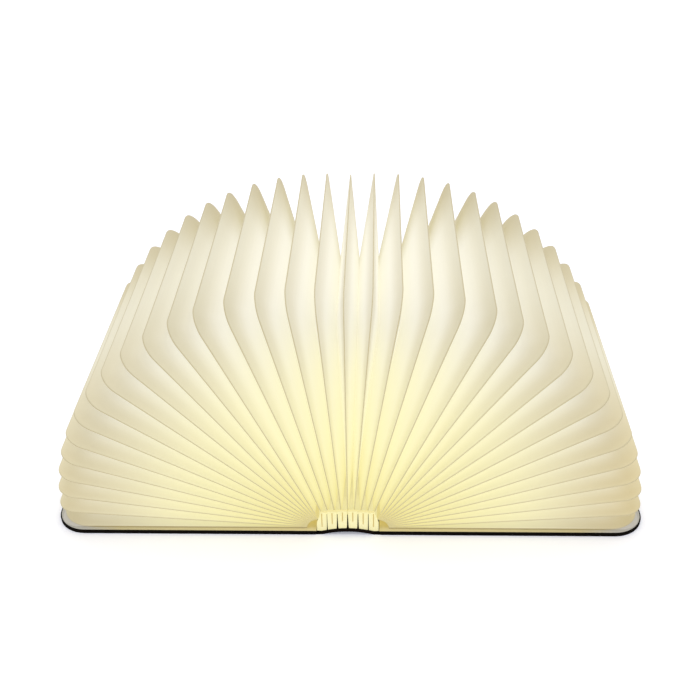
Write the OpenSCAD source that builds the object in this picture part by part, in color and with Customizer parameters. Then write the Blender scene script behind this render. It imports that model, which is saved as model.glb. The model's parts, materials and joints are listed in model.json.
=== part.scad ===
// Folding book lamp, lying open and flat. A paper bellows fans out between two cover boards,
// over a light bar on the spine. Millimetres. The origin is on the table under the middle of
// the spine: X runs across the open book, Y along the spine and Z up.

/* [Covers] */
// From a cover's hinge axis to its outer edge
cover_w = 180; // [150:1:210]
// Size of a cover along the spine
cover_d = 195; // [194:1:230]
// Radius of a cover's two outer corners
cover_corner_r = 21; // [8:1:35]
// Thickness of the stiff board in a cover and in the spine
board_t = 2.2; // [1.8:0.1:3.5]
// Thickness of the black cloth that wraps the boards
skin_t = 0.4; // [0.2:0.1:0.8]
// Thickness of the grey paper that lines a cover
liner_t = 0.2; // [0.1:0.05:0.4]
// How far the lining stops short of the cover's edge
liner_inset = 1.2; // [0.6:0.1:3]
// From a hinge axis to the cover board beside it
board_gap = 1.2; // [0.6:0.1:2]
// Diameter of the magnets in the covers
magnet_d = 10; // [6:0.5:14]
// Thickness of the magnets
magnet_t = 1.5; // [1:0.1:1.6]
// From a cover's outer edges to the middle of a magnet
magnet_inset = 16; // [12:1:30]

/* [Spine] */
// From one hinge axis to the other
spine_w = 42; // [38:0.5:48]
// How far the middle of the spine arches up off the table
arch_rise = 2.7; // [1.5:0.1:3.2]
// How far the spine stops short of the covers at each end
spine_inset = 0.4; // [0:0.1:1]
// Room between the spine board and a cover folded right back
hinge_room = 0.4; // [0.3:0.1:1]

/* [Pages] */
// Moving pages on each side, with the end page that is glued to the cover
side_pages = 17; // [13:1:17]
// From the hinge axis to a page's fore edge
page_reach = 177; // [140:1:178]
// Size of a page along the spine
page_d = 188; // [150:1:189]
// Radius of a page's two outer corners
page_corner_r = 13; // [6:0.5:30]
// Thickness of a page
page_t = 0.2; // [0.15:0.01:0.3]
// Air between pages that lie on each other
page_gap = 0.13; // [0.12:0.01:0.2]
// From a hinge axis to the foot of the pages bundled beside it
outer_foot = 7; // [7:0.5:9]
// From the hinge axis to the foot of the pages that stand on the light bar
inner_foot = 12.5; // [12:0.5:14]
// Last page from the middle that stands on the spine
spine_pages = 5; // [4:1:6]
// How far the fan bunches at the middle and at the covers, in degrees
fan_swing = 2.6; // [0:0.1:3.5]

/* [Bellows] */
// Depth of the folds between two pages
fold_depth = 45; // [20:1:60]
// Radius of a fold's inner corners
fold_corner_r = 8; // [4:0.5:12]
// Thickness of the folded paper
fold_t = 0.2; // [0.1:0.02:0.22]
// Air between the folded paper and a page
fold_gap = 0.06; // [0.05:0.01:0.1]

/* [Light bar] */
// Wall of the bar's base, housing and end caps
wall = 1.2; // [1:0.1:1.6]
// Thickness of an end cap
cap_t = 2; // [1.5:0.1:3]
// Thickness of the translucent cover
diffuser_t = 0.9; // [0.6:0.1:1]
// Width of the strip that carries the lamps
strip_w = 8; // [6:0.5:12]
// Thickness of that strip
strip_t = 0.3; // [0.2:0.1:0.6]
// Distance between two lamps on the strip
lamp_pitch = 10; // [6:0.5:20]
// Width of a lamp across the strip
lamp_w = 2.8; // [2:0.1:5]
// Length of a lamp along the strip
lamp_l = 3.5; // [2:0.1:5]
// Height of a lamp
lamp_h = 0.7; // [0.5:0.1:1]
// Width of the battery
battery_w = 24; // [15:1:26]
// Length of the battery
battery_l = 100; // [60:1:110]
// Thickness of the battery
battery_t = 3.6; // [2:0.1:4]
// Length of the circuit board
pcb_l = 46; // [35:1:50]
// Thickness of the circuit board
pcb_t = 0.8; // [0.6:0.1:1.2]
// Width and length of a chip
chip_w = 5; // [3:0.5:7]
// Height of a chip
chip_h = 1; // [0.6:0.1:1.2]
// Width of the charging socket
socket_w = 8.9; // [7:0.1:10]
// Depth of the charging socket
socket_d = 7.3; // [6:0.1:9]
// Height of the charging socket
socket_h = 3.2; // [2.6:0.1:3.4]
// Diameter of the screws that hold the end caps
screw_d = 2; // [1.6:0.1:2.2]
// Length of those screws
screw_len = 7; // [5:0.5:8]

/* [Binding tabs] */
// Thickness of the card tabs that close the bar's ends
tab_t = 2.2; // [1.5:0.1:2.4]
// Gap between two tabs at their feet
tab_gap_low = 1.4; // [0.8:0.1:2]
// Gap between two tabs at their tops
tab_gap_high = 0.3; // [0.3:0.05:0.6]
// How far the middle tabs rise past the feet of the pages on the bar
tab_rise = 5; // [3:0.5:8]
// How much lower each next tab stands, out from the middle
tab_step = 0.6; // [0:0.1:1.5]
// How far the outer tabs draw in above their feet
tab_draw_in = 3; // [1:0.5:4]
// Height of the outer tabs' feet
tab_foot_h = 9.3; // [6:0.1:11]
// Width of the slit in each tab
tab_slit_w = 0.5; // [0.4:0.05:0.8]
// Height of those slits
tab_slit_h = 7.5; // [4:0.5:9]
// From the table to the outer slits
tab_slit_low = 6.3; // [5:0.1:8]
// How much higher each next slit starts, towards the middle
tab_slit_step = 2.5; // [1:0.1:3]

/* [Hidden] */
$fn = 64;
arch_fn = 180;
arc_steps = 4;
side_steps = 3;
clear = 0.3;
cloth_seam = 0.1;
overlap = 1;
table_z = 0;

cover_t = skin_t + board_t + liner_t;
axis_x = spine_w / 2;
axis_z = cover_t;
cover_edge_x = axis_x + cover_w;
board_inner_x = axis_x + board_gap;

spine_end = cover_d / 2 - spine_inset;
spine_half = axis_x - cover_t - hinge_room;
arch_r = (spine_half * spine_half + arch_rise * arch_rise) / (2 * arch_rise);
arch_z = arch_rise - arch_r;
spine_top_r = arch_r + skin_t + board_t;
spine_top = arch_z + spine_top_r;

page_pitch = page_t + page_gap;
end_page_s = clear + page_t / 2;
bundle_s = end_page_s + (side_pages - spine_pages) * page_pitch;
last_page = side_pages - 1;

// Angle of page k from upright, and its distance from the hinge axis
function page_angle(k) = 90 * k / side_pages - fan_swing * sin(360 * k / side_pages);
function page_offset(k) =
    k <= spine_pages ? axis_x - k * (axis_x - bundle_s) / spine_pages
                     : end_page_s + (side_pages - k) * page_pitch;
function page_foot(k) = k < spine_pages ? inner_foot : outer_foot;

base_inset = 1;
base_lift = 0.15;
base_room = 0.6;
foot_room = 1;
housing_room = 0.8;
lamp_room = 0.7;
base_half = axis_x - base_inset;
base_bottom = axis_z + base_lift;
base_top = axis_z + outer_foot - base_room;
bar_top = axis_z + inner_foot - foot_room;
housing_half = axis_x - bundle_s - page_t / 2 - housing_room;
cavity_half = housing_half - wall;
cavity_floor = spine_top + wall;
strip_z = bar_top - diffuser_t - lamp_room - lamp_h - strip_t;
strip_inset = 2;
bar_end = page_d / 2 + clear;
body_end = bar_end - cap_t;
screw_block = screw_len + 1;
cavity_end = body_end - screw_block;
cap_drop = 0.5;

screw_inset = 2;
screw_x = cavity_half - screw_inset;
screw_z = (cavity_floor + base_top) / 2;
screw_sink = 0.2;
head_h = screw_d / 2;
slot_w = screw_d / 2;
slot_h = head_h / 2;

battery_inset = 2;
board_room = 0.7;
socket_lift = 0.6;
socket_room = 0.35;
socket_wall = 0.3;
socket_back = 1;
board_rise = 1;
pcb_w = 2 * (cavity_half - board_room);
pcb_end = body_end - 1;
pcb_start = pcb_end - pcb_l;
socket_z = cavity_floor + socket_lift;
pcb_z = socket_z + board_rise;
rib_t = 2;
rib_inset = 3;

tab_count = 3;
tab_pitch = (axis_x - clear) / tab_count;
tab_top = axis_z + inner_foot + tab_rise;
tab_notch = 4;

SIDES = ["right", "left"];
function two_digits(k) = k < 10 ? str("0", k) : str(k);
function page_name(side, k) =
    k == side_pages ? str(side, "_end_page") : str(side, "_page_", two_digits(k));

module on_side(side) {
    if (side == "left") mirror([1, 0, 0]) children();
    else children();
}

// An extrusion along Y of a profile drawn with X across and Y up
module along_spine(from_y, to_y) {
    translate([0, to_y, 0]) rotate([90, 0, 0]) linear_extrude(to_y - from_y) children();
}

// Covers
module cover_outline(inset, inner_x) {
    r = cover_corner_r - inset;
    w = cover_edge_x - inset - inner_x;
    d = cover_d - 2 * inset;
    translate([inner_x, -d / 2]) square([w - r, d]);
    translate([inner_x, -d / 2 + r]) square([w, d - 2 * r]);
    for (y = [-1, 1]) translate([inner_x + w - r, y * (d / 2 - r)]) circle(r);
}

module magnet_places() {
    for (y = [-1, 1])
        translate([cover_edge_x - magnet_inset, y * (cover_d / 2 - magnet_inset),
                   skin_t + board_t - magnet_t]) children();
}

module cover_board(side) {
    color([0.35, 0.26, 0.18]) on_side(side) difference() {
        translate([0, 0, skin_t]) linear_extrude(board_t) cover_outline(skin_t, board_inner_x);
        magnet_places() cylinder(d = magnet_d + 2 * cloth_seam, h = magnet_t + overlap);
    }
}

module cover_magnets(side) {
    color([0.75, 0.75, 0.77]) on_side(side) magnet_places() cylinder(d = magnet_d, h = magnet_t);
}

// The cloth wraps the board's underside and its three outer edges
module cover_cloth(side) {
    color([0.06, 0.055, 0.05]) on_side(side) difference() {
        linear_extrude(skin_t + board_t) cover_outline(0, board_inner_x);
        translate([0, 0, skin_t]) linear_extrude(board_t + overlap)
            cover_outline(skin_t, board_inner_x - overlap);
    }
}

module cover_lining(side) {
    color([0.66, 0.65, 0.62]) on_side(side) translate([0, 0, skin_t + board_t])
        linear_extrude(liner_t) cover_outline(liner_inset, board_inner_x);
}

// Spine
module arch_band(inner_r, outer_r, half) {
    intersection() {
        translate([0, arch_z]) difference() {
            circle(outer_r, $fn = arch_fn);
            circle(inner_r, $fn = arch_fn);
        }
        translate([-half, -board_t]) square([2 * half, arch_rise + 4 * board_t]);
    }
}

module spine_board() {
    color([0.35, 0.26, 0.18]) along_spine(-spine_end, spine_end)
        arch_band(arch_r + skin_t, spine_top_r, spine_half);
}

// One strip of cloth runs under the spine board and on to both covers
module spine_cloth() {
    hinge_from = spine_half - clear;
    hinge_to = board_inner_x - cloth_seam;
    color([0.06, 0.055, 0.05]) along_spine(-spine_end, spine_end) {
        arch_band(arch_r, arch_r + skin_t, spine_half);
        for (x = [-hinge_to, hinge_from])
            translate([x, table_z]) square([hinge_to - hinge_from, skin_t]);
    }
}

// Light bar
module spine_circle() {
    translate([0, arch_z]) circle(spine_top_r, $fn = arch_fn);
}

module base_profile() {
    difference() {
        translate([-base_half, base_bottom]) square([2 * base_half, base_top - base_bottom]);
        spine_circle();
    }
}

module screw_places() {
    for (x = [-screw_x, screw_x], end = [0, 180])
        rotate([0, 0, end]) translate([x, -bar_end + screw_sink, screw_z])
            rotate([-90, 0, 0]) children();
}

module socket_slot(from_y, to_y, h) {
    half = socket_w / 2 + socket_room;
    translate([-half, from_y, 0]) cube([2 * half, to_y - from_y, h]);
}

module light_base() {
    color([0.2, 0.2, 0.21]) difference() {
        along_spine(-body_end, body_end) base_profile();
        translate([-cavity_half, -cavity_end, cavity_floor])
            cube([2 * cavity_half, 2 * cavity_end, base_top]);
        translate([0, 0, cavity_floor]) socket_slot(0, body_end + overlap, base_top);
        screw_places() cylinder(d = screw_d, h = screw_len + clear, $fn = 32);
    }
    // Two ribs carry the circuit board
    color([0.2, 0.2, 0.21])
        for (y = [pcb_start + rib_inset, cavity_end - rib_inset - rib_t])
            translate([-cavity_half, y, cavity_floor])
                cube([2 * cavity_half, rib_t, pcb_z - cavity_floor]);
}

module light_housing() {
    color([0.2, 0.2, 0.21]) difference() {
        translate([-housing_half, -body_end, base_top])
            cube([2 * housing_half, 2 * body_end, strip_z - base_top]);
        translate([-cavity_half, -body_end - overlap, base_top - overlap])
            cube([2 * cavity_half, 2 * (body_end + overlap),
                  strip_z - base_top + overlap - wall]);
    }
}

module led_strip() {
    strip_end = body_end - strip_inset;
    color([0.93, 0.93, 0.9]) translate([-strip_w / 2, -strip_end, strip_z])
        cube([strip_w, 2 * strip_end, strip_t]);
    half_count = floor((strip_end - lamp_l) / lamp_pitch);
    color([0.98, 0.9, 0.55]) for (i = [-half_count : half_count])
        translate([-lamp_w / 2, i * lamp_pitch - lamp_l / 2, strip_z + strip_t])
            cube([lamp_w, lamp_l, lamp_h]);
}

module diffuser() {
    inner_half = housing_half - wall;
    color([0.97, 0.96, 0.9]) difference() {
        translate([-housing_half, -body_end, strip_z])
            cube([2 * housing_half, 2 * body_end, bar_top - strip_z]);
        translate([-inner_half, -body_end - overlap, strip_z - overlap])
            cube([2 * inner_half, 2 * (body_end + overlap),
                  bar_top - diffuser_t - strip_z + overlap]);
    }
}

module battery() {
    color([0.75, 0.77, 0.8])
        translate([-battery_w / 2, -cavity_end + battery_inset, cavity_floor])
            cube([battery_w, battery_l, battery_t]);
}

// The board carries the charger, the lamp driver and the magnet sensor
module circuit_board() {
    color([0.1, 0.35, 0.2]) difference() {
        translate([-pcb_w / 2, pcb_start, pcb_z]) cube([pcb_w, pcb_l, pcb_t]);
        translate([0, 0, pcb_z - overlap])
            socket_slot(bar_end - socket_d - socket_room, bar_end, pcb_t + 2 * overlap);
        // The base's end blocks rise beside the socket
        for (side = [-1, 1]) translate([side * cavity_half, pcb_end, pcb_z])
            cube([2 * (cavity_half - socket_w / 2 - socket_room),
                  2 * (pcb_end - cavity_end + clear), 4 * pcb_t], center = true);
    }
    // Three chips stand in a staggered row
    color([0.12, 0.12, 0.13]) for (i = [-1 : 1])
        translate([(1.6 * i - 0.5) * chip_w, pcb_start + (3 + i) * chip_w, pcb_z + pcb_t])
            cube([chip_w, chip_w, chip_h]);
}

module charge_socket() {
    color([0.8, 0.8, 0.82]) translate([0, bar_end - socket_d, socket_z])
        rotate([-90, 0, 0]) translate([0, -socket_h / 2, 0]) difference() {
            linear_extrude(socket_d) socket_outline(0);
            translate([0, 0, socket_back]) linear_extrude(socket_d)
                socket_outline(-socket_wall);
        }
}

module socket_outline(grow) {
    r = socket_h / 2;
    for (side = [-1, 1]) translate([side * (socket_w / 2 - r), 0]) circle(r + grow);
    translate([r - socket_w / 2, -r - grow]) square([socket_w - 2 * r, 2 * (r + grow)]);
}

module socket_hole(from_y, to_y) {
    along_spine(from_y, to_y) translate([0, socket_z + socket_h / 2])
        socket_outline(socket_room);
}

module end_cap_plate() {
    low = spine_top - cap_drop;
    difference() {
        along_spine(-bar_end, -body_end) difference() {
            translate([-housing_half, low]) square([2 * housing_half, bar_top - low]);
            spine_circle();
        }
        screw_places() translate([0, 0, -overlap]) union() {
            cylinder(d = screw_d + 2 * cloth_seam, h = screw_len, $fn = 32);
            cylinder(r = screw_d + cloth_seam, h = overlap);
            translate([0, 0, overlap])
                cylinder(r1 = screw_d + cloth_seam, r2 = screw_d / 2 + cloth_seam, h = head_h);
        }
    }
}

module front_end_cap() { color([0.2, 0.2, 0.21]) end_cap_plate(); }

module rear_end_cap() {
    color([0.2, 0.2, 0.21]) difference() {
        rotate([0, 0, 180]) end_cap_plate();
        socket_hole(body_end - overlap, bar_end + overlap);
    }
}

// Four countersunk screws, two in each end cap
module bar_screws() {
    color([0.7, 0.7, 0.72]) screw_places() rotate_extrude($fn = 32) polygon([
        [0, slot_h], [slot_w / 2, slot_h], [slot_w / 2, 0], [screw_d, 0],
        [screw_d / 2, head_h], [screw_d / 2, screw_len - slot_h], [0, screw_len]]);
}

// Card tabs stand in a row on the arch and close the ends of the bar
module tab_row() {
    for (side = [-1, 1], i = [0 : tab_count - 1]) {
        inner = i * tab_pitch;
        outer = inner + tab_pitch;
        is_outer = i == tab_count - 1;
        low_out = is_outer ? outer : outer - tab_gap_low / 2;
        high_out = is_outer ? outer - tab_draw_in : outer - tab_gap_high / 2;
        foot_h = is_outer ? tab_foot_h : table_z;
        top = tab_top - tab_step * i;
        slit_z = tab_slit_low + tab_slit_step * (tab_count - 1 - i);
        scale([side, 1]) difference() {
            polygon([[inner + tab_gap_low / 2, table_z], [low_out, table_z],
                     [low_out, foot_h + tab_step], [high_out, top],
                     [inner + tab_gap_high / 2, top]]);
            translate([(inner + outer - tab_slit_w) / 2, slit_z])
                square([tab_slit_w, tab_slit_h]);
        }
    }
}

module standing_tabs() {
    along_spine(-bar_end - tab_t, -bar_end) difference() {
        tab_row();
        spine_circle();
        for (side = [-1, 1])
            translate([side * (axis_x + spine_half) / 2 - tab_notch / 2, table_z - overlap])
                square([tab_notch, base_bottom - table_z + overlap]);
    }
}

module front_tabs() { color([0.98, 0.95, 0.78]) standing_tabs(); }

module rear_tabs() {
    color([0.98, 0.95, 0.78]) difference() {
        rotate([0, 0, 180]) standing_tabs();
        socket_hole(bar_end - overlap, bar_end + tab_t + overlap);
    }
}

// Pages
module page_shape(foot) {
    r = page_corner_r;
    translate([foot, -page_d / 2]) square([page_reach - r - foot, page_d]);
    translate([foot, -page_d / 2 + r]) square([page_reach - foot, page_d - 2 * r]);
    for (y = [-1, 1]) translate([page_reach - r, y * (page_d / 2 - r)]) circle(r);
}

module page(k) {
    color([0.96, 0.94, 0.82]) translate([axis_x, 0, axis_z])
        rotate([0, page_angle(k) - 90, 0]) translate([0, 0, page_offset(k) - page_t / 2])
            linear_extrude(page_t) page_shape(page_foot(k));
}

// Bellows: point i of an outline inset from a page's edge, from the near foot round to the
// far one, as [distance from the hinge axis, distance along the spine]
half_path = side_steps + arc_steps;
path_last = 2 * half_path + 1;
function edge_point(i, foot, inset, r) =
    let (u = page_reach - inset - r, v = page_d / 2 - inset - r,
         step = min(i, path_last - i), end = i > half_path ? 1 : -1,
         turn = 90 * (step - side_steps) / arc_steps)
    step < side_steps ? [foot + (u - foot) * step / side_steps, end * (v + r)]
                      : [u + r * sin(turn), end * (v + r * cos(turn))];

// A point of that outline on the plane at an angle and an offset from the hinge axis
function on_plane(p, angle, offset) =
    [axis_x - offset * cos(angle) + p[0] * sin(angle), p[1],
     axis_z + offset * sin(angle) + p[0] * cos(angle)];

// One fold: a V between page k and the next, as a closed sheet of one thickness
module fold(k) {
    foot = max(page_foot(k), page_foot(k + 1));
    near = page_t / 2 + fold_gap;
    a = page_angle(k);
    b = page_angle(k + 1);
    sa = page_offset(k);
    sb = page_offset(k + 1);
    mid = (a + b) / 2;
    smid = (sa + sb) / 2;
    rings = [for (i = [0 : path_last])
        let (outer = edge_point(i, foot, 0, page_corner_r),
             valley = edge_point(i, foot, fold_depth, fold_corner_r),
             half_gap = (sa - sb) / 2 + outer[0] * sin((b - a) / 2),
             back = min(fold_t / half_gap, 1 / 4) * fold_depth,
             behind = edge_point(i, foot, fold_depth + back, fold_corner_r))
        [on_plane(outer, a, sa - near - fold_t), on_plane(valley, mid, smid),
         on_plane(outer, b, sb + near + fold_t), on_plane(outer, b, sb + near),
         on_plane(behind, mid, smid), on_plane(outer, a, sa - near)]];
    n = 6;
    polyhedron(
        [for (ring = rings) each ring],
        concat(
            [for (i = [0 : path_last - 1], j = [0 : n - 1])
                let (p = i * n + j, q = i * n + (j + 1) % n)
                each (j == 1 || j == 4 ? [[p, q, q + n], [p, q + n, p + n]]
                                       : [[p, q, p + n], [q, q + n, p + n]])],
            [[5, 4, 1], [5, 1, 0], [4, 3, 2], [4, 2, 1]],
            [for (f = [[0, 1, 5], [1, 4, 5], [1, 2, 4], [2, 3, 4]])
                [for (j = f) path_last * n + j]]));
}

module bellows(side) {
    color([0.98, 0.95, 0.8]) on_side(side) for (k = [0 : last_page]) fold(k);
}

spine_board();
spine_cloth();
light_base();
light_housing();
diffuser();
led_strip();
battery();
circuit_board();
charge_socket();
front_end_cap();
rear_end_cap();
bar_screws();
front_tabs();
rear_tabs();
page(0);  // centre_page
for (side = SIDES) {
    cover_board(side);
    cover_cloth(side);
    cover_lining(side);
    cover_magnets(side);
    bellows(side);
    for (k = [1 : side_pages])
        on_side(side) page(k);
}
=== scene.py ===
"""Looks of a folding book lamp: its paper bellows, pages, binding tabs and book cloth."""

import json
import math

import bmesh
import bpy
from mathutils import Matrix, Vector
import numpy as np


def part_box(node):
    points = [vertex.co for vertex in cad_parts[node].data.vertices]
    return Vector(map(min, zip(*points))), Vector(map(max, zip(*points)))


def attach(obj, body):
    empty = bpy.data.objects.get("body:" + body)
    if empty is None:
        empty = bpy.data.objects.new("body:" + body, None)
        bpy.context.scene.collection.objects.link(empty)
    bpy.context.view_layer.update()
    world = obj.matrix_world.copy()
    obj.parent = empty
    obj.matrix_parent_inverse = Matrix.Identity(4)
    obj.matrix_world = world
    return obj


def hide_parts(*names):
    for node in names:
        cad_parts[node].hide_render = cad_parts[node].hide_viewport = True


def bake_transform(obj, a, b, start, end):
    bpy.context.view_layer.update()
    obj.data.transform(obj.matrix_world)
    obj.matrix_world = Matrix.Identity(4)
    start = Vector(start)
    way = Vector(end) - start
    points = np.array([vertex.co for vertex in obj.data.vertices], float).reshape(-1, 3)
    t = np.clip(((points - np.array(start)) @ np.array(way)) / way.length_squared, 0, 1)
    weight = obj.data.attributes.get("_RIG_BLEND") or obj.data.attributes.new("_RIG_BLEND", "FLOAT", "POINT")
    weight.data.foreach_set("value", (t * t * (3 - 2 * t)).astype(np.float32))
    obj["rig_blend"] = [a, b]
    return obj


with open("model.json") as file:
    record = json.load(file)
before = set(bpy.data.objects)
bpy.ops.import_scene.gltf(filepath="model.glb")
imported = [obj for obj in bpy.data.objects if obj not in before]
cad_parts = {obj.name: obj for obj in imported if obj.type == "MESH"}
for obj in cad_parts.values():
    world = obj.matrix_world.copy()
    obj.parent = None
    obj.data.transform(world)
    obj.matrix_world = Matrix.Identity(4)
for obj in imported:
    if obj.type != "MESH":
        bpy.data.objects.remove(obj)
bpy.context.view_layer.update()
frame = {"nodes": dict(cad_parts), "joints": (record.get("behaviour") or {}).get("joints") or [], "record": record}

MM = 0.001
SIDES = {"right": 1, "left": -1}

# The right cover's hinge, which the left one mirrors
HINGE = next(joint["pos_m"] for joint in frame["joints"] if joint["name"] == "right_cover_hinge")
HINGE_X, HINGE_Z = HINGE[0], HINGE[2]

# The pages
PAGE_LOW, PAGE_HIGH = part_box("centre_page")
END_PAGE_LOW, END_PAGE_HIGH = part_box("right_end_page")
PAGE_T = PAGE_HIGH.x - PAGE_LOW.x
PAGE_END = PAGE_HIGH.y
PAGE_REACH = END_PAGE_HIGH.x - HINGE_X
PAGE_CORNER = 13 * MM
# Air between pages that lie on each other
PAGE_AIR = 0.13 * MM
PAGE_PITCH = PAGE_T + PAGE_AIR
# From the hinge axis to the end page, and to the foot of the pages on the light bar
END_OFFSET = (END_PAGE_LOW.z + END_PAGE_HIGH.z) / 2 - HINGE_Z
INNER_FOOT = PAGE_LOW.z - HINGE_Z
# Pages of a side with its end page, and the last one that stands on the spine
SIDE_PAGES = 1 + sum(name.startswith("right_page_") for name in frame["nodes"])
SPINE_PAGES = 5
# How far the fan bunches at its middle and at the covers, in degrees
FAN_SWING = 2.6

# The folded paper between two pages
FOLD_DEPTH = 45 * MM
FOLD_CORNER = 8 * MM
FOLD_T = 0.2 * MM
FOLD_GAP = 0.06 * MM
FOLD_FOOT = 6.7 * MM
FOLD_BLEND = 0.3 * MM
# A fold is two walls of paper: the inner one's valley lies deeper by at most this share
MOST_MOVED_IN = 0.25
# The lowest fold stops short of the end page's edge and has a rounder corner there
GLUED_INSET = 0.3 * MM
GLUED_CORNER = 20 * MM
# How far the painted shade of a fold's near and far corners runs along its edge, and how it fades
NEAR_SHADE = 75 * MM
FAR_SHADE = 90 * MM
SHADE_FADE = 1.5
# The same for the far corner's tip, along the fore edge and along the far side
TIP_SHADE = 42 * MM
TIP_SHADE_FAR = 70 * MM
# How deep the painted shade of the low corners is on each side
LOW_CORNER_SHADE = {"right": 0.85, "left": 0.4}
# Points round a fold's section, and steps along its sides, corners and outer edge
FOLD_SECTION = 6
SIDE_STEPS = 14
ARC_STEPS = 10
EDGE_STEPS = 8

# The covers
CLOTH_LOW, CLOTH_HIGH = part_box("right_cover_cloth")
LINING_LOW, LINING_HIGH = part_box("right_cover_lining")
COVER_INNER = CLOTH_LOW.x
COVER_EDGE = CLOTH_HIGH.x
COVER_END = CLOTH_HIGH.y
COVER_CORNER = 21 * MM
CLOTH_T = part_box("right_cover_board")[0].z
BOARD_TOP = LINING_LOW.z
BOARD_T = BOARD_TOP - CLOTH_T
LINING_TOP = LINING_HIGH.z
# Between cloth and board, round the cloth's outer edges, and where it is turned in
CLOTH_SEAM = 0.01 * MM
CLOTH_SOFT = 0.35 * MM
TURN_IN_T = 0.12 * MM
# From the cover's edge to the lining's thick part and to its thin lap over the cloth
LINING_INSET = COVER_EDGE - LINING_HIGH.x
LINING_LAP = 0.9 * MM
LINING_TO_HINGE = 0.3 * MM
# Steps along a cover's near side and round each corner
COVER_STEPS = 6
CORNER_STEPS = 20

# The spine
SPINE_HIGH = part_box("spine_board")[1]
SPINE_HALF = SPINE_HIGH.x
SPINE_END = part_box("spine_cloth")[1].y
ARCH_RISE = SPINE_HIGH.z - CLOTH_T - BOARD_T
ARCH_R = (SPINE_HALF ** 2 + ARCH_RISE ** 2) / (2 * ARCH_RISE)
ARCH_Z = ARCH_RISE - ARCH_R
SPINE_TOP_R = ARCH_R + CLOTH_T + BOARD_T
STRIP_BLEND = 0.2 * MM
# Steps across the arch and a hinge strip, and along the spine
ARCH_STEPS = 24
HINGE_STEPS = 16
SPINE_STEPS = 12

# The tabs at each end of the spine
TABS = 3
TABS_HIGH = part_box("rear_tabs")[1]
BAR_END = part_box("rear_end_cap")[1].y
TAB_T = TABS_HIGH.y - BAR_END
TAB_TOP = TABS_HIGH.z
TAB_PITCH = 6.95 * MM
# How much lower each next tab stands, out from the middle
TAB_STEP = 0.6 * MM
# Gaps between two tabs at their feet, from the middle outwards, and at their tops
TAB_GAPS_LOW = (1.7 * MM, 1.4 * MM, 0.8 * MM)
TAB_GAP_HIGH = 0.3 * MM
# The outer tabs draw in above their feet
TAB_DRAW_IN = 3 * MM
TAB_FOOT_H = 9.3 * MM
# The outer slits' lower end, and how much higher each next one starts, towards the middle
TAB_SLIT_W = 0.65 * MM
TAB_SLIT_LOW = 6.3 * MM
TAB_SLIT_STEP = 2.5 * MM
# Card left above a slit, and the share of the thickness left behind it
SLIT_BRIDGE = 0.8 * MM
SLIT_FLOOR = 0.3
# Rounding of the card's edges
TAB_SOFT = 0.12 * MM
# Room between a tab's foot and a cover that is folded right back
COVER_ROOM = 0.15 * MM

# Edges sharper than this stay sharp, in degrees
SHARP_ANGLE = 40

# How brightly the lit pieces glow
PAPER_GLOW = 0.52
PAGE_GLOW = 0.66
CARD_GLOW = 0.5
BAR_GLOW = 0.45
LAMP_GLOW = 0.8

# Solids that the lamps shine through from inside
LIT_SHELLS = ("light_housing", "light_base")

# The floor's width in metres, the surround's strength on the object, and where the lights aim
FLOOR_SIZE = 16
SURROUND = 0.62
LIGHTS_AIM = Vector((0, 0, 80 * MM))

# The camera: its place from the pages' near edge and the hinge, and its turn in degrees
CAMERA_X = 19.0 * MM
CAMERA_AHEAD = 487.0 * MM
CAMERA_UP = 451.3 * MM
PITCH, YAW, ROLL = 38.49, 1.97, 0.99
# Its focal length, its middle row and the photograph's width in pixels, and its sensor in mm
FOCAL_PIXELS = 973.6
CENTRE_ROW = 455
IMAGE = 700
SENSOR = 36


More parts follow.
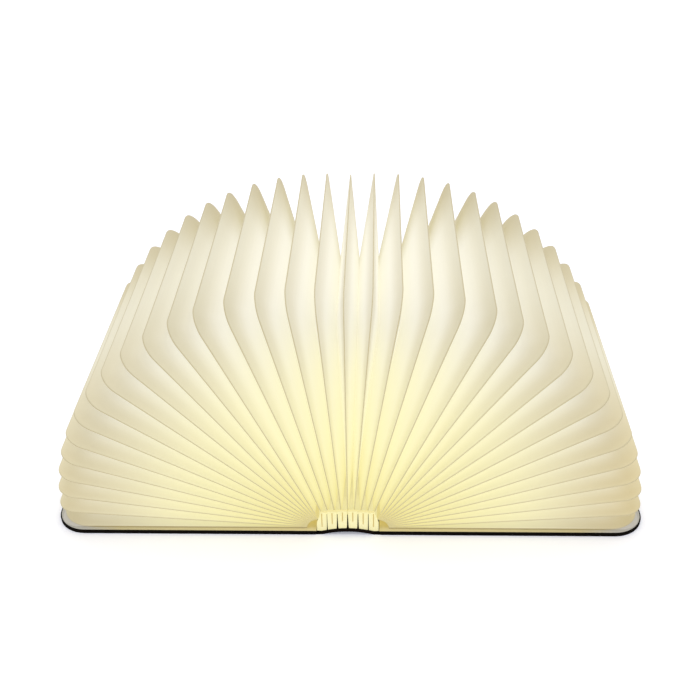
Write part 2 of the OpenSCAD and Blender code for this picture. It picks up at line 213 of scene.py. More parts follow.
# Materials
class Finish:
    """The nodes of a material or of the world, and the short calls that build them."""

    def __init__(self, owner, shader="Principled BSDF"):
        owner.use_nodes = True
        self.owner = owner
        self.tree = owner.node_tree
        self.shader = self.tree.nodes[shader]

    def feed(self, socket, value):
        """Links a socket to another one, or gives it a plain number or colour."""
        if isinstance(value, bpy.types.NodeSocket):
            self.tree.links.new(value, socket)
        elif socket.type == "RGBA":
            socket.default_value = (*value, 1)
        else:
            socket.default_value = value

    def give(self, values):
        """Feeds the shader's inputs by their names."""
        for name, value in values.items():
            self.feed(self.shader.inputs[name], value)

    def add(self, kind, **values):
        """A new node, with its inputs and settings given by their names."""
        node = self.tree.nodes.new("ShaderNode" + kind)
        for name, value in values.items():
            if name in node.inputs:
                self.feed(node.inputs[name], value)
            else:
                setattr(node, name, value)
        return node

    def point(self):
        """The place of a point on the object."""
        return self.add("TexCoord").outputs["Object"]

    def axes(self, vector):
        """The X, Y and Z of a vector."""
        return self.add("SeparateXYZ", Vector=vector).outputs

    def length(self, vector):
        """The length of a vector."""
        return self.add("VectorMath", operation="LENGTH", Vector=vector).outputs["Value"]

    def kept(self, name):
        """A number that the mesh keeps at its points or faces."""
        return self.add("Attribute", attribute_name=name).outputs["Fac"]

    def noise(self, point, scale, detail, **more):
        """An uneven grain, with its scale per metre."""
        return self.add("TexNoise", Vector=point, Scale=scale, Detail=detail, **more).outputs["Fac"]

    def worked(self, operation, first, second=0.0):
        """The result of one sum."""
        node = self.add("Math", operation=operation)
        self.feed(node.inputs[0], first)
        self.feed(node.inputs[1], second)
        return node.outputs[0]

    def scaled(self, value, source=(0.0, 1.0), target=(0.0, 1.0), ease="LINEAR"):
        """A number carried from one range to another, and held at its ends."""
        node = self.add("MapRange", interpolation_type=ease, Value=value)
        for name, number in zip(("From Min", "From Max", "To Min", "To Max"), (*source, *target)):
            node.inputs[name].default_value = number
        return node.outputs["Result"]

    def ramp(self, value, stops):
        """A colour that runs through its (place, colour) stops."""
        node = self.add("ValToRGB", Fac=value)
        elements = node.color_ramp.elements
        while len(elements) < len(stops):
            elements.new(0.5)
        for element, (place, colour) in zip(elements, stops):
            element.position = place
            element.color = (*colour, 1)
        return node.outputs["Color"]

    def blended(self, share, first, second, kind="MIX"):
        """Two colours mixed by a share."""
        node = self.add("Mix", data_type="RGBA", blend_type=kind)
        for place, value in ((0, share), (6, first), (7, second)):
            self.feed(node.inputs[place], value)
        return node.outputs[2]

    def times(self, tone, level):
        """A colour multiplied by a level."""
        grey = level if isinstance(level, bpy.types.NodeSocket) else (level,) * 3
        return self.blended(1.0, tone, grey, "MULTIPLY")

    def mottled(self, tone, grain, low):
        """A colour that a grain darkens here and there, down to a level."""
        return self.times(tone, self.scaled(grain, (0.3, 0.7), (low, 1.0)))

    def relief(self, height, strength, depth):
        """Gives the surface a fine relief."""
        bump = self.add("Bump", Strength=strength, Distance=depth, Height=height)
        self.give({"Normal": bump.outputs["Normal"]})

    def seen(self):
        """One for rays from the camera, also by way of a gloss or a clear part, and none for others."""
        path = self.add("LightPath").outputs
        straight = self.worked("MAXIMUM", path["Is Camera Ray"], path["Is Glossy Ray"])
        return self.worked("MAXIMUM", straight, path["Is Transmission Ray"])


def new_finish(name):
    """The nodes of a new material."""
    return Finish(bpy.data.materials.new(name))


def srgb(*channels):
    """A colour given as three channels of 0 to 255, as linear light."""
    return tuple(c / 255 / 12.92 if c <= 10 else ((c / 255 + 0.055) / 1.055) ** 2.4 for c in channels)


def bellows_paper():
    """Fibre paper that glows from the spine outwards, with painted shade in tan along its folded edges."""
    paper = new_finish("bellows_paper")
    sheet = paper.add("UVMap", uv_map="sheet").outputs["UV"]
    depth = paper.axes(sheet)["Y"]
    reach, turn, corner = paper.kept("reach"), paper.kept("turn"), paper.kept("corner")

    # Painted light: the glow stands for the lamps' light through the paper, the rim for painted shade at the
    # folded edges; both are darker at the spine, where the pages bunch, as painted shade
    glow = paper.ramp(reach, [(0.02, srgb(240, 228, 150)), (0.12, srgb(250, 243, 186)),
                              (0.3, srgb(254, 249, 204)), (0.6, srgb(253, 249, 217)),
                              (0.85, srgb(250, 247, 232)), (1.0, srgb(245, 242, 232))])
    rim_shade = paper.ramp(reach, [(0.02, srgb(230, 214, 138)), (0.12, srgb(243, 233, 160)),
                             (0.4, srgb(244, 237, 182)), (0.75, srgb(238, 231, 192)),
                             (1.0, srgb(229, 223, 198))])
    # Painted shade, deeper towards the fold's near and far corners and most at the low folds
    rim_shade = paper.blended(corner, rim_shade, srgb(210, 200, 162))
    low = paper.worked("MULTIPLY", paper.scaled(turn, (0.35, 0.8)), paper.kept("tanning"))
    rim_shade = paper.blended(paper.worked("MULTIPLY", corner, low), rim_shade, srgb(214, 194, 132))
    # Upright folds take less of the painted shade near their fore edge
    upright = paper.worked("MULTIPLY", paper.scaled(turn, (0.05, 0.25), (0.75, 0.0)),
                           paper.scaled(reach, (0.7, 0.95)))
    rim_shade = paper.blended(upright, rim_shade, srgb(236, 230, 208))
    # Painted shade at the far corner's tip, and at the corners, reaches the glow too
    tip = paper.worked("MULTIPLY", paper.kept("tip"), paper.scaled(turn, (0.0, 0.25), (0.35, 1.0)))
    rim_shade = paper.blended(tip, rim_shade, srgb(198, 184, 138))
    glow = paper.times(glow, paper.scaled(corner, target=(1.0, 0.95)))
    glow = paper.blended(tip, glow, srgb(212, 202, 158))

    # From the painted shade at the folded edge into the glow, over a longer way near the fore edge
    way = paper.worked("DIVIDE", depth, paper.scaled(reach, target=(0.1, 0.6)))
    tone = paper.blended(paper.scaled(way, ease="SMOOTHSTEP"), rim_shade, glow)
    tone = paper.mottled(tone, paper.noise(sheet, 18.0, 3.0), 0.98)
    # Painted shade: a thin darker line along each crease
    tone = paper.blended(paper.scaled(depth, (0.0, 0.012), (0.7, 0.0)), tone, srgb(188, 176, 130))

    # Folds halfway down are shaded at their fore edge, low ones are brighter, the lowest is darker
    rise = paper.scaled(turn, (0.1, 0.35), ease="SMOOTHSTEP")
    fall = paper.scaled(turn, (0.6, 0.85), ease="SMOOTHSTEP")
    outward = paper.scaled(reach, (0.82, 1.0), (-0.015, 0.08), "SMOOTHSTEP")
    shade = paper.worked("MULTIPLY", paper.worked("SUBTRACT", rise, fall), outward)
    level = paper.worked("SUBTRACT", paper.scaled(turn, (0.6, 0.9), (1.0, 1.045)),
                         paper.scaled(turn, (0.93, 1.0), (0.0, 0.14)))
    tone = paper.times(tone, paper.worked("SUBTRACT", level, shade))

    base = paper.times(paper.blended(0.5, (0.8, 0.79, 0.76), tone), 0.55)
    paper.give({"Base Color": base, "Emission Color": tone, "Emission Strength": PAPER_GLOW,
                "Roughness": 0.85, "Specular IOR Level": 0.25})
    paper.relief(paper.noise(sheet, 260.0, 6.0, Roughness=0.62, Distortion=0.8), 0.12, 0.2 * MM)
    return paper.owner


def page_paper():
    """The pages, seen as thin tan lines between the folds, their tan a painted shade along their edges."""
    page = new_finish("page_paper")
    point = page.point()
    axes = page.axes(point)
    from_hinge = page.worked("SUBTRACT", page.worked("ABSOLUTE", axes["X"]), HINGE_X)
    across = page.add("CombineXYZ", X=from_hinge, Y=axes["Z"]).outputs["Vector"]
    reach = page.scaled(page.length(across), (0.0, PAGE_REACH))
    # Painted light: lighter near the spine where the glow is strongest, darker tan further out as painted shade
    # along the page edges
    edge = page.ramp(reach, [(0.08, srgb(234, 220, 150)), (0.14, srgb(210, 195, 128)),
                             (0.5, srgb(213, 199, 146)), (1.0, srgb(200, 186, 144))])
    glued = page.ramp(reach, [(0.86, srgb(178, 161, 110)), (0.93, srgb(198, 194, 184))])
    on_cover = page.scaled(axes["Z"], (HINGE_Z + 1.0 * MM, HINGE_Z + 1.4 * MM), (1.0, 0.0))
    tone = page.mottled(page.blended(on_cover, edge, glued), page.noise(point, 900.0, 4.0), 0.92)
    page.give({"Base Color": page.times(tone, 0.35), "Emission Color": tone,
               "Emission Strength": PAGE_GLOW, "Roughness": 0.85})
    return page.owner


def tab_card():
    """Cream card lit from inside, with painted shade at its foot, in its slit and on its top."""
    card = new_finish("tab_card")
    point = card.point()
    height = card.scaled(card.axes(point)["Z"], (0.0, 20 * MM))
    fibre = card.noise(point, 700.0, 5.0)
    # Painted shade: darker towards the foot
    tone = card.ramp(height, [(0.0, srgb(240, 231, 174)), (0.5, srgb(247, 240, 188)),
                              (1.0, srgb(246, 238, 178))])
    # Painted shade on the slit's floor and walls
    tone = card.blended(card.kept("groove"), card.mottled(tone, fibre, 0.96), srgb(216, 196, 128))
    # Painted shade on faces that look upwards
    slope = card.axes(card.add("NewGeometry").outputs["Normal"])["Z"]
    tone = card.blended(card.scaled(slope, (0.3, 0.9), (0.0, 0.6)), tone, srgb(230, 217, 158))
    card.give({"Base Color": card.times(tone, 0.6), "Emission Color": tone,
               "Emission Strength": CARD_GLOW, "Roughness": 0.8})
    card.relief(fibre, 0.15, 0.2 * MM)
    return card.owner


def black_cloth():
    """Black book cloth: a fine woven grain, rubbed a little paler along its edges."""
    cloth = new_finish("black_cloth")
    point = cloth.point()
    threads = [cloth.add("TexWave", wave_type="BANDS", bands_direction=axis, Vector=point,
                         Scale=420.0, Distortion=1.2, **{"Detail Scale": 3.0}).outputs["Fac"]
               for axis in ("X", "Y")]
    cloud = cloth.noise(point, 45.0, 5.0, Roughness=0.6)
    tone = cloth.ramp(cloud, [(0.3, (0.0022, 0.0016, 0.0012)), (0.7, (0.0075, 0.0056, 0.0040))])
    worn = cloth.scaled(cloth.add("NewGeometry").outputs["Pointiness"], (0.53, 0.62), (0.0, 0.2))
    cloth.give({"Base Color": cloth.blended(worn, tone, (0.02, 0.015, 0.011)),
                "Roughness": cloth.scaled(cloud, (0.3, 0.7), (0.7, 0.85)),
                "Specular IOR Level": 0.02})
    cloth.relief(cloth.worked("ADD", *threads), 0.35, 0.15 * MM)
    return cloth.owner


def lining_paper():
    """Pale grey lining paper that takes on the pages' warm light near the spine."""
    lining = new_finish("lining_paper")
    point = lining.point()
    across = lining.worked("ABSOLUTE", lining.axes(point)["X"])
    tone = lining.ramp(lining.scaled(across, (HINGE_X, COVER_EDGE)),
                       [(0.0, srgb(226, 213, 160)), (0.75, srgb(204, 192, 148)),
                        (0.88, srgb(186, 184, 176))])
    grain = lining.noise(point, 1500.0, 6.0)
    lining.give({"Base Color": lining.mottled(tone, grain, 0.96), "Roughness": 0.75})
    lining.relief(grain, 0.2, 0.05 * MM)
    return lining.owner


def lit_plastic(name, colour, strength):
    """A frosted part that gives off the lamps' warm light."""
    part = new_finish(name)
    frost = part.noise(part.point(), 120.0, 4.0)
    deeper = tuple(0.94 * c for c in colour)
    part.give({"Base Color": part.ramp(frost, [(0.3, (0.5, 0.49, 0.46)), (0.7, (0.56, 0.55, 0.52))]),
               "Emission Color": part.ramp(frost, [(0.3, deeper), (0.7, colour)]),
               "Emission Strength": strength, "Roughness": 0.5})
    return part.owner


def grained(name, colour, spread, scale, roughness, relief, metallic=0.0, gloss=0.5):
    """A plain finish with a soft change of tone and a fine grain."""
    part = new_finish(name)
    point = part.point()
    grain = part.noise(point, scale, 6.0, Roughness=0.6)
    cloud = part.noise(point, scale / 12, 2.0)
    darker = tuple(c * (1 - spread) for c in colour)
    part.give({"Base Color": part.ramp(cloud, [(0.35, darker), (0.65, colour)]),
               "Roughness": part.scaled(grain, (0.3, 0.7), (roughness - 0.06, roughness + 0.06)),
               "Metallic": metallic, "Specular IOR Level": gloss})
    part.relief(grain, 0.25, relief)
    return part.owner


def all_materials():
    """Every finish, by the name of its slot in the record."""
    made = {
        "bellows_paper": bellows_paper(),
        "page_paper": page_paper(),
        "tab_card": tab_card(),
        "black_cloth": black_cloth(),
        "lining_paper": lining_paper(),
        "diffuser_plastic": lit_plastic("diffuser_plastic", srgb(236, 227, 164), BAR_GLOW),
        "housing_white": lit_plastic("housing_white", srgb(240, 231, 168), BAR_GLOW),
        "lamp_strip": lit_plastic("lamp_strip", srgb(250, 240, 205), LAMP_GLOW),
    }
    plain = {
        "board": dict(colour=srgb(20, 12, 8), spread=0.3, scale=900, roughness=0.85,
                      relief=0.2 * MM, gloss=0.03),
        "bar_plastic": dict(colour=srgb(26, 24, 22), spread=0.15, scale=2500, roughness=0.5,
                            relief=0.05 * MM, gloss=0.15),
        "battery_foil": dict(colour=srgb(190, 193, 198), spread=0.1, scale=600, roughness=0.35,
                             relief=0.1 * MM, metallic=1.0),
        "circuit_green": dict(colour=srgb(20, 84, 52), spread=0.25, scale=1200, roughness=0.4,
                              relief=0.05 * MM),
        "socket_steel": dict(colour=srgb(196, 196, 198), spread=0.08, scale=3000, roughness=0.3,
                             relief=0.02 * MM, metallic=1.0),
        "magnet_nickel": dict(colour=srgb(200, 200, 204), spread=0.05, scale=2000, roughness=0.25,
                              relief=0.02 * MM, metallic=1.0),
        "screw_steel": dict(colour=srgb(70, 66, 62), spread=0.2, scale=3000, roughness=0.5,
                            relief=0.03 * MM, metallic=1.0),
    }
    made.update((name, grained(name, **look)) for name, look in plain.items())
    return made


# Mesh helpers
def new_piece(name, verts, faces, material):
    """A mesh object at the origin, with its place in its mesh."""
    mesh = bpy.data.meshes.new(name)
    mesh.from_pydata(verts, [], faces)
    mesh.materials.append(material)
    mesh.update()
    piece = bpy.data.objects.new(name, mesh)
    bpy.context.scene.collection.objects.link(piece)
    return piece


def face_outwards(piece):
    """Turns a closed mesh's faces outwards."""
    work = bmesh.new()
    work.from_mesh(piece.data)
    bmesh.ops.recalc_face_normals(work, faces=work.faces)
    work.to_mesh(piece.data)
    work.free()


def smooth(piece):
    """Smooth shading that keeps the sharp edges sharp."""
    piece.data.shade_smooth()
    piece.data.set_sharp_from_angle(angle=math.radians(SHARP_ANGLE))


def make_plain(piece):
    """Puts what a piece's modifiers make into its mesh, and takes them off."""
    graph = bpy.context.evaluated_depsgraph_get()
    mesh = bpy.data.meshes.new_from_object(piece.evaluated_get(graph))
    piece.modifiers.clear()
    piece.data = mesh
    mesh.name = piece.name


def skin_faces(rings, n):
    """The faces round a skin of rings of n points each."""
    return [(i * n + j, i * n + (j + 1) % n, (i + 1) * n + (j + 1) % n, (i + 1) * n + j)
            for i in range(rings - 1) for j in range(n)]


# The bellows
def page_angle(k):
    """Degrees of page k from upright."""
    return 90 * k / SIDE_PAGES - FAN_SWING * math.sin(math.radians(360 * k / SIDE_PAGES))


def page_offset(k):
    """Distance of page k's plane from the hinge axis."""
    bundle = END_OFFSET + (SIDE_PAGES - SPINE_PAGES) * PAGE_PITCH
    if k <= SPINE_PAGES:
        return HINGE_X - k * (HINGE_X - bundle) / SPINE_PAGES
    return END_OFFSET + (SIDE_PAGES - k) * PAGE_PITCH


def fold_foot(k):
    """Where page k's folds begin: beside the light bar, or close to the hinge axis."""
    return INNER_FOOT if k < SPINE_PAGES else FOLD_FOOT


def page_body(side, k):
    """The body that page k of a side belongs to."""
    if k == 0:
        return "root"
    return f"{side}_end_page" if k == SIDE_PAGES else f"{side}_page_{k:02d}"


def edge_path(foot, inset, corner):
    """An outline inset from a page's edge, as points (reach, along the spine), from the near foot
    round to the far one."""
    u, v = PAGE_REACH - inset - corner, PAGE_END - inset - corner
    half = [(foot + (u - foot) * i / SIDE_STEPS, v + corner) for i in range(SIDE_STEPS)]
    for i in range(ARC_STEPS + 1):
        turn = math.radians(90 * i / ARC_STEPS)
        half.append((u + corner * math.sin(turn), v + corner * math.cos(turn)))
    edge = [(u + corner, v * (2 * i / EDGE_STEPS - 1)) for i in range(1, EDGE_STEPS)]
    return [(a, -b) for a, b in half] + edge + half[::-1]


def moved_in(outer, valley, share):
    """A point past the valley, in line with the outer edge's point."""
    return tuple(v + (v - o) * share for o, v in zip(outer, valley))


def fold_faces(rings):
    """A fold's skin of triangles, and a closed end at each foot. Every diagonal runs from a valley to
    the next point of an edge, so that both walls bend alike."""
    n = FOLD_SECTION
    valley_first = (1, 4)
    faces = []
    for i in range(rings - 1):
        for j in range(n):
            p, q = i * n + j, i * n + (j + 1) % n
            faces += ([(p, q, q + n), (p, q + n, p + n)] if j in valley_first
                      else [(p, q, p + n), (q, q + n, p + n)])
    last = (rings - 1) * n
    faces += [(5, 4, 1), (5, 1, 0), (4, 3, 2), (4, 2, 1)]
    faces += [tuple(last + j for j in face) for face in ((0, 1, 5), (1, 4, 5), (1, 2, 4), (2, 3, 4))]
    return faces


def flat_fold(side, k):
    """The fold from page k to the next before it is stood up: a closed sheet round their edges. Its
    points hold their reach, share of the way to the next page, turn, lift off a page and painted shade."""
    foot = max(fold_foot(k), fold_foot(k + 1))
    near = PAGE_T / 2 + FOLD_GAP
    far = near + FOLD_T
    half_turn = math.radians(page_angle(k + 1) - page_angle(k)) / 2
    start_gap = (page_offset(k) - page_offset(k + 1)) / 2
    outer = edge_path(foot, 0, PAGE_CORNER)
    on_next = edge_path(foot, GLUED_INSET, GLUED_CORNER) if k == SIDE_PAGES - 1 else outer
    valley = edge_path(foot, FOLD_DEPTH, FOLD_CORNER)
    near_corner = SIDE_STEPS + ARC_STEPS // 2
    far_corner = len(outer) - 1 - near_corner
    verts, sheet, held = [], [], {}
    length = 0
    for i, (a, b, c) in enumerate(zip(outer, valley, on_next)):
        gap = start_gap + a[0] * math.sin(half_turn)
        behind = moved_in(a, b, min(FOLD_T / gap, MOST_MOVED_IN))
        behind = (max(behind[0], foot), behind[1])
        if i:
            length += math.dist(a, outer[i - 1])
        # How much painted shade a point takes near the fold's near and far corners and at its far tip
        to_near, to_far = math.dist(a, outer[near_corner]), math.dist(a, outer[far_corner])
        corner = max(0, 1 - min(to_near / NEAR_SHADE, to_far / FAR_SHADE)) ** SHADE_FADE
        tip = max(0, 1 - to_far / (TIP_SHADE_FAR if i > far_corner else TIP_SHADE))
        outer_wall = ((a, 0, -far, 0), (b, 0.5, 0, 1), (c, 1, far, 0))
        inner_wall = ((c, 1, near, 0), (behind, 0.5, 0, 1), (a, 0, -near, 0))
        for (u, v), share, lift, depth in outer_wall + inner_wall:
            verts.append((u, v, 0))
            sheet.append((length, depth))
            numbers = {"share": share, "turn": (k + share) / SIDE_PAGES, "lift": lift,
                       "reach": u / PAGE_REACH, "corner": corner, "tip": tip,
                       "tanning": LOW_CORNER_SHADE[side]}
            for name, number in numbers.items():
                held.setdefault(name, []).append(number)
    piece = new_piece(f"{side}_fold_{k + 1:02d}", verts, fold_faces(len(outer)),
                      MATERIALS["bellows_paper"])
    mesh = piece.data
    for name, numbers in held.items():
        mesh.attributes.new(name, "FLOAT", "POINT").data.foreach_set("value", numbers)
    layer = mesh.uv_layers.new(name="sheet")
    for loop in mesh.loops:
        layer.data[loop.index].uv = sheet[loop.vertex_index]
    soften_along(mesh)
    return piece


def soften_along(mesh):
    """Smooth along a fold's length, and sharp at its edges, its valley and its feet."""
    n = FOLD_SECTION
    feet = (0, len(mesh.vertices) // n - 1)
    mesh.shade_smooth()
    sharp = mesh.attributes.new("sharp_edge", "BOOLEAN", "EDGE")
    for edge in mesh.edges:
        a, b = edge.vertices
        lengthwise = a % n == b % n
        at_foot = a // n == b // n and a // n in feet
        sharp.data[edge.index].value = lengthwise or at_foot


def fan_tree():
    """Geometry Nodes that stand a flat fold up between the planes of two pages."""
    tree = bpy.data.node_groups.new("fold_between_pages", "GeometryNodeTree")
    sockets = tree.interface
    sockets.new_socket("Sheet", in_out="INPUT", socket_type="NodeSocketGeometry")
    for name in ("Angle A", "Angle B", "Offset A", "Offset B", "Hinge X", "Hinge Z", "Side"):
        sockets.new_socket(name, in_out="INPUT", socket_type="NodeSocketFloat")
    sockets.new_socket("Paper", in_out="INPUT", socket_type="NodeSocketMaterial")
    sockets.new_socket("Fold", in_out="OUTPUT", socket_type="NodeSocketGeometry")
    given = tree.nodes.new("NodeGroupInput").outputs
    result = tree.nodes.new("NodeGroupOutput")

    def kept(label):
        node = tree.nodes.new("GeometryNodeInputNamedAttribute")
        node.data_type = "FLOAT"
        node.inputs["Name"].default_value = label
        return node.outputs["Attribute"]

    def worked(operation, *values):
        node = tree.nodes.new("ShaderNodeMath")
        node.operation = operation
        for socket, value in zip(node.inputs, values):
            if isinstance(value, bpy.types.NodeSocket):
                tree.links.new(value, socket)
            else:
                socket.default_value = value
        return node.outputs[0]

    def between(a, b, share):
        return worked("MULTIPLY_ADD", worked("SUBTRACT", b, a), share, a)

    share = kept("share")
    place = tree.nodes.new("GeometryNodeInputPosition")
    parts = tree.nodes.new("ShaderNodeSeparateXYZ")
    tree.links.new(place.outputs[0], parts.inputs[0])
    reach = parts.outputs["X"]
    angle = between(given["Angle A"], given["Angle B"], share)
    offset = worked("ADD", between(given["Offset A"], given["Offset B"], share), kept("lift"))
    sine, cosine = worked("SINE", angle), worked("COSINE", angle)
    x = worked("SUBTRACT", worked("MULTIPLY", reach, sine), worked("MULTIPLY", offset, cosine))
    z = worked("ADD", worked("MULTIPLY", reach, cosine), worked("MULTIPLY", offset, sine))
    x = worked("MULTIPLY", worked("ADD", x, given["Hinge X"]), given["Side"])
    z = worked("ADD", z, given["Hinge Z"])
    joined = tree.nodes.new("ShaderNodeCombineXYZ")
    for axis, value in (("X", x), ("Y", parts.outputs["Y"]), ("Z", z)):
        tree.links.new(value, joined.inputs[axis])

    move = tree.nodes.new("GeometryNodeSetPosition")
    flip = tree.nodes.new("GeometryNodeFlipFaces")
    real = tree.nodes.new("GeometryNodeRealizeInstances")
    paint = tree.nodes.new("GeometryNodeSetMaterial")
    tree.links.new(given["Sheet"], move.inputs["Geometry"])
    tree.links.new(joined.outputs[0], move.inputs["Position"])
    tree.links.new(move.outputs[0], flip.inputs["Mesh"])
    tree.links.new(worked("LESS_THAN", given["Side"], 0.0), flip.inputs["Selection"])
    tree.links.new(flip.outputs[0], real.inputs[0])
    tree.links.new(real.outputs[0], paint.inputs["Geometry"])
    tree.links.new(given["Paper"], paint.inputs["Material"])
    tree.links.new(paint.outputs[0], result.inputs[0])
    return tree


def shape_by(tree, piece, values):
    """Runs a tree on a piece, with the tree's inputs given by their names."""
    modifier = piece.modifiers.new("shape", "NODES")
    modifier.node_group = tree
    for item in tree.interface.items_tree:
        if item.item_type == "SOCKET" and item.in_out == "INPUT" and item.name in values:
            modifier[item.identifier] = values[item.name]
    make_plain(piece)


def bellows():
    """Every fold of both bellows, each bending between the two pages that it joins."""
    tree = fan_tree()
    for side, sign in SIDES.items():
        for k in range(SIDE_PAGES):
            fold = flat_fold(side, k)
            low, high = math.radians(page_angle(k)), math.radians(page_angle(k + 1))
            shape_by(tree, fold, {
                "Angle A": low, "Angle B": high, "Offset A": page_offset(k),
                "Offset B": page_offset(k + 1), "Hinge X": HINGE_X, "Hinge Z": HINGE_Z,
                "Side": float(sign), "Paper": MATERIALS["bellows_paper"]})
            middle = (low + high) / 2
            across = Vector((sign * math.cos(middle), 0, -math.sin(middle)))
            offset = (page_offset(k) + page_offset(k + 1)) / 2
            centre = Vector((sign * HINGE_X, 0, HINGE_Z)) - across * offset
            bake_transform(fold, page_body(side, k), page_body(side, k + 1),
                     start=centre - across * FOLD_BLEND, end=centre + across * FOLD_BLEND)
            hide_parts(f"{side}_bellows")


# The covers
def cover_path(inset, inner):
    """A cover's outline from its inner side along the near side, round both corners and back."""
    r = COVER_CORNER - inset
    x, y = COVER_EDGE - COVER_CORNER, COVER_END - COVER_CORNER
    turns = [math.radians(90 * i / CORNER_STEPS) for i in range(CORNER_STEPS + 1)]
    half = [(inner + (x - inner) * i / COVER_STEPS, -(y + r)) for i in range(COVER_STEPS)]
    half += [(x + r * math.sin(t), -(y + r * math.cos(t))) for t in turns]
    return half + [(a, -b) for a, b in half[::-1]]


def rim_and_plate(name, sign, profile, low, inner, material):
    """A closed sheet whose section round the cover's three outer sides is a profile of (inset, z)
    points. The sheet is plain between profile points low and low + 1."""
    paths = [cover_path(inset, inner) for inset, z in profile]
    n, rings = len(profile), len(paths[0])
    verts = [(sign * paths[j][i][0], paths[j][i][1], profile[j][1])
             for i in range(rings) for j in range(n)]
    faces = [face for place, face in enumerate(skin_faces(rings, n)) if place % n != low]
    last = (rings - 1) * n
    faces.append(tuple(i * n + low for i in range(rings)))
    faces.append(tuple(i * n + low + 1 for i in range(rings)))
    faces.append((low, low + 1, last + low + 1, last + low))
    faces.append(tuple(range(n)))
    faces.append(tuple(last + j for j in range(n)))
    sheet = new_piece(name, verts, faces, material)
    face_outwards(sheet)
    smooth(sheet)
    return sheet


def cover_skin(side, sign):
    """Cloth wrapped under a cover board and over its edges, and turned in beside the lining."""
    lap = LINING_INSET - CLOTH_SEAM
    inside = CLOTH_T - CLOTH_SEAM
    shelf = BOARD_TOP + CLOTH_SEAM
    crown = shelf + TURN_IN_T
    bend = 0.3 * CLOTH_SOFT
    cut_drop, cut_slope = 0.03 * MM, 0.08 * MM
    plate = 8 * MM
    profile = [(lap, crown - cut_drop), (lap - cut_slope, crown), (CLOTH_SOFT, crown),
               (bend, crown - bend), (0, crown - CLOTH_SOFT), (0, CLOTH_SOFT),
               (bend, bend), (CLOTH_SOFT, 0), (plate, 0),
               (plate, inside), (inside, inside), (inside, shelf), (lap, shelf)]
    skin = rim_and_plate(f"{side}_cover_skin", sign, profile, profile.index((plate, 0)),
                         COVER_INNER, MATERIALS["black_cloth"])
    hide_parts(f"{side}_cover_cloth")
    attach(skin, f"{side}_cover")


def cover_lining(side, sign):
    """The grey sheet on a cover's inner face, pasted down over the cloth's turned-in edge."""
    crown = BOARD_TOP + 2 * CLOTH_SEAM + TURN_IN_T
    under = BOARD_TOP + CLOTH_SEAM
    cut_drop, cut_slope = 0.02 * MM, 0.03 * MM
    plate = 6 * MM
    profile = [(LINING_LAP, crown), (LINING_LAP, LINING_TOP - cut_drop),
               (LINING_LAP + cut_slope, LINING_TOP), (plate, LINING_TOP),
               (plate, under), (LINING_INSET, under), (LINING_INSET, crown)]
    sheet = rim_and_plate(f"{side}_lining_sheet", sign, profile, profile.index((plate, LINING_TOP)),
                          HINGE_X + LINING_TO_HINGE, MATERIALS["lining_paper"])
    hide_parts(f"{side}_cover_lining")
    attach(sheet, f"{side}_cover")


# The spine
def arch_height(x, radius=SPINE_TOP_R):
    """Height of the spine board's upper face, or of another layer by its radius."""
    return ARCH_Z + math.sqrt(radius ** 2 - x ** 2)


def strip_along_spine(name, section):
    """A cloth band along the spine, whose section is a closed row of (x, z) points."""
    n = len(section)
    verts = [(x, SPINE_END * (2 * i / SPINE_STEPS - 1), z)
             for i in range(SPINE_STEPS + 1) for x, z in section]
    faces = skin_faces(SPINE_STEPS + 1, n)
    faces += [tuple(range(n)), tuple(SPINE_STEPS * n + j for j in range(n))]
    strip = new_piece(name, verts, faces, MATERIALS["black_cloth"])
    face_outwards(strip)
    smooth(strip)
    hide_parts("spine_cloth")
    return strip


def spine_strips():
    """The cloth under the spine, and the two soft strips that hinge the covers to it."""
    inside = CLOTH_T - CLOTH_SEAM
    xs = [SPINE_HALF * (2 * i / ARCH_STEPS - 1) for i in range(ARCH_STEPS + 1)]
    arch = [(x, arch_height(x, ARCH_R)) for x in xs]
    arch += [(x, arch_height(x, ARCH_R + inside)) for x in xs[::-1]]
    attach(strip_along_spine("spine_strip", arch), "root")
    reach = COVER_INNER - SPINE_HALF - CLOTH_SEAM
    for side, sign in SIDES.items():
        xs = [sign * (SPINE_HALF + reach * i / HINGE_STEPS) for i in range(HINGE_STEPS + 1)]
        flat = [(x, 0) for x in xs] + [(x, inside) for x in xs[::-1]]
        strip = strip_along_spine(f"{side}_hinge_strip", flat)
        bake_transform(strip, "root", f"{side}_cover", start=(sign * (SPINE_HALF + STRIP_BLEND), 0, 0),
                 end=(sign * (COVER_INNER - STRIP_BLEND), 0, 0))


# The tabs at the ends of the spine
def tab_seat(x):
    """Height at which a tab stands: on the spine's arch, and clear of a folded-back cover beside it."""
    on_arch = arch_height(x) + CLOTH_SEAM
    return max(on_arch, HINGE_Z + COVER_ROOM) if x > SPINE_HALF else on_arch


def tab_grid(i):
    """Tab i as rows of four points (left edge, both sides of its slit, right edge), and the rows
    between which the slit runs."""
    inner = i * TAB_PITCH
    outer = inner + TAB_PITCH
    last = i == TABS - 1
    low_in, high_in = inner + TAB_GAPS_LOW[i] / 2, inner + TAB_GAP_HIGH / 2
    low_out = outer if last else outer - TAB_GAPS_LOW[i + 1] / 2
    high_out = outer - TAB_DRAW_IN if last else outer - TAB_GAP_HIGH / 2
    top = TAB_TOP - TAB_STEP * i
    slit_low = TAB_SLIT_LOW + TAB_SLIT_STEP * (TABS - 1 - i)
    slit_high = top - SLIT_BRIDGE
    foot = TAB_FOOT_H if last else 0
    middle = (inner + outer) / 2
    levels = sorted({0, foot or top / 3, slit_low, (slit_low + slit_high) / 2, slit_high, top})
    rows = []
    for z in levels:
        left = low_in + (high_in - low_in) * z / top
        right = low_out + (high_out - low_out) * max(0, (z - foot) / (top - foot))
        xs = (left, middle - TAB_SLIT_W / 2, middle + TAB_SLIT_W / 2, right)
        rows.append([(x, max(z, tab_seat(x))) for x in xs])
    return rows, (levels.index(slit_low), levels.index(slit_high))


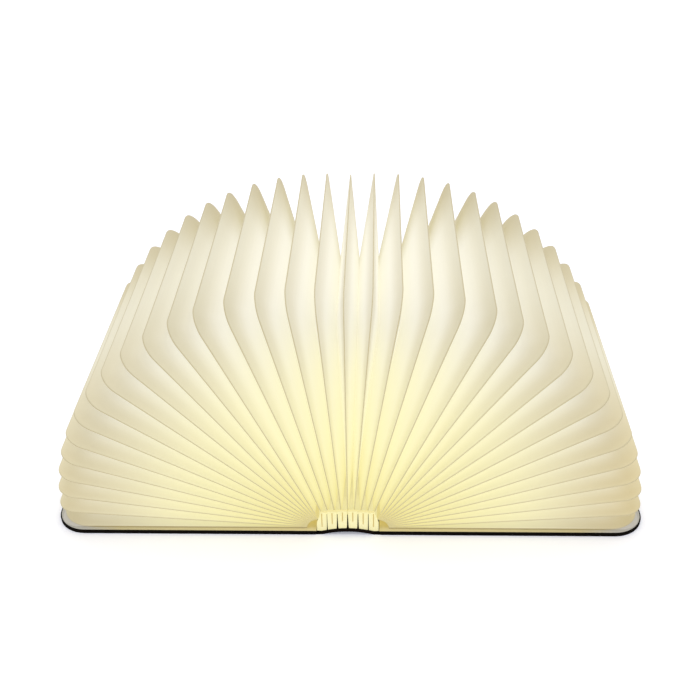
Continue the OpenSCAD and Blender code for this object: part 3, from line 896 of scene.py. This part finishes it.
def add_tab(work, i, mirror):
    """A closed card with a groove up its middle, built cell by cell."""
    in_groove = work.faces.layers.float["groove"]
    rows, (groove_from, groove_to) = tab_grid(i)
    back, groove, front = -BAR_END, -BAR_END - TAB_T * SLIT_FLOOR, -BAR_END - TAB_T
    last_row, last_column = len(rows) - 1, len(rows[0]) - 1
    made = {}

    def corner(spot, y):
        if (spot, y) not in made:
            x, z = rows[spot[0]][spot[1]]
            made[spot, y] = work.verts.new((mirror * x, y, z))
        return made[spot, y]

    def wall(a, b, level, far_level):
        return work.faces.new([corner(a, level), corner(b, level),
                               corner(b, far_level), corner(a, far_level)])

    def is_groove(r, c):
        return c == 1 and groove_from <= r < groove_to

    for r in range(last_row):
        for c in range(last_column):
            level = groove if is_groove(r, c) else front
            around = [(r, c), (r, c + 1), (r + 1, c + 1), (r + 1, c)]
            face = work.faces.new([corner(spot, level) for spot in around])
            face[in_groove] = is_groove(r, c)
            work.faces.new([corner(spot, back) for spot in around])
            beside = [(r - 1, c), (r, c + 1), (r + 1, c), (r, c - 1)]
            for place, (next_r, next_c) in enumerate(beside):
                a, b = around[place], around[(place + 1) % 4]
                inside = 0 <= next_r < last_row and 0 <= next_c < last_column
                if not inside:
                    wall(a, b, level, back)
                elif is_groove(r, c) and not is_groove(next_r, next_c):
                    wall(a, b, groove, front)[in_groove] = 1


def tab_row(name, end):
    """Six card tabs, standing on the arch of the spine."""
    work = bmesh.new()
    work.faces.layers.float.new("groove")
    for mirror in (-1, 1):
        for i in range(TABS):
            add_tab(work, i, mirror)
    bmesh.ops.recalc_face_normals(work, faces=work.faces)
    if end > 0:
        half_turn = Matrix.Rotation(math.pi, 3, "Z")
        bmesh.ops.rotate(work, verts=work.verts, cent=(0, 0, 0), matrix=half_turn)
    row = new_piece(name, [], [], MATERIALS["tab_card"])
    work.to_mesh(row.data)
    work.free()
    bevel = row.modifiers.new("soft_edges", "BEVEL")
    bevel.width, bevel.segments = TAB_SOFT, 2
    bevel.limit_method, bevel.angle_limit = "ANGLE", math.radians(50)
    make_plain(row)
    smooth(row)
    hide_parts("front_tabs" if end < 0 else "rear_tabs")
    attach(row, "root")


# The pieces that keep their solid's mesh
def dress_nodes():
    """Every solid takes its slot's finish, and the shells round the lamps a lit white one."""
    for part in frame["record"]["subparts"]:
        mesh = frame["nodes"][part["node"]].data
        mesh.materials.clear()
        lit = part["node"] in LIT_SHELLS
        mesh.materials.append(MATERIALS["housing_white" if lit else part["material_slot"]])


# The stage, the lights and the camera
def white_floor():
    """A white floor, lit more the farther it is from the object, so that its shadow stays."""
    bpy.ops.mesh.primitive_grid_add(x_subdivisions=8, y_subdivisions=8, size=FLOOR_SIZE)
    floor = bpy.context.object
    floor.name = "floor"
    white = new_finish("floor_white")
    lift = white.scaled(white.length(white.point()), (0.25, 1.6), (0.22, 0.8))
    white.give({"Base Color": (0.9, 0.9, 0.9), "Roughness": 0.9, "Specular IOR Level": 0.0,
                "Emission Color": (0.76, 0.78, 0.98),
                "Emission Strength": white.worked("MULTIPLY", white.seen(), lift)})
    floor.data.materials.append(white.owner)


def white_surround():
    """An even soft surround, which is seen as white."""
    world = bpy.data.worlds.new("studio")
    bpy.context.scene.world = world
    sky = Finish(world, "Background")
    sky.give({"Color": (1, 1, 1), "Strength": sky.scaled(sky.seen(), target=(SURROUND, 1.0))})


def softbox(name, place, size, power):
    """A square area light that faces the middle of the object."""
    light = bpy.data.lights.new(name, "AREA")
    light.shape = "SQUARE"
    light.size = size
    light.energy = power
    holder = bpy.data.objects.new(name, light)
    bpy.context.scene.collection.objects.link(holder)
    holder.location = place
    holder.rotation_euler = (LIGHTS_AIM - Vector(place)).to_track_quat("-Z", "Y").to_euler()


def camera():
    """The camera, where the photograph's perspective puts it."""
    data = bpy.data.cameras.new("camera")
    data.sensor_width = SENSOR
    data.lens = FOCAL_PIXELS / IMAGE * SENSOR
    data.shift_y = (CENTRE_ROW - IMAGE / 2) / IMAGE
    data.clip_start, data.clip_end = 0.01, 50
    holder = bpy.data.objects.new("camera", data)
    bpy.context.scene.collection.objects.link(holder)
    bpy.context.scene.camera = holder
    pitch, yaw, roll = (math.radians(a) for a in (PITCH, YAW, ROLL))
    across = Vector((math.cos(yaw), math.sin(yaw), 0))
    ahead = Vector((-math.sin(yaw), math.cos(yaw), 0))
    forward = ahead * math.cos(pitch) - Vector((0, 0, math.sin(pitch)))
    up = ahead * math.sin(pitch) + Vector((0, 0, math.cos(pitch)))
    right = across * math.cos(roll) - up * math.sin(roll)
    up = across * math.sin(roll) + up * math.cos(roll)
    holder.matrix_world = Matrix((right, up, -forward)).transposed().to_4x4()
    holder.location = (CAMERA_X, -PAGE_END - CAMERA_AHEAD, HINGE_Z + CAMERA_UP)


camera()
MATERIALS = all_materials()
dress_nodes()
bellows()
for cover_side, cover_sign in SIDES.items():
    cover_skin(cover_side, cover_sign)
    cover_lining(cover_side, cover_sign)
spine_strips()
tab_row("front_tab_row", -1)
tab_row("rear_tab_row", 1)
white_floor()
white_surround()
softbox("top_light", place=(0, 0.1, 1.4), size=1.2, power=9)
softbox("front_light", place=(0.2, -1.3, 0.8), size=0.9, power=4)
bpy.context.scene.view_settings.view_transform = "Standard"
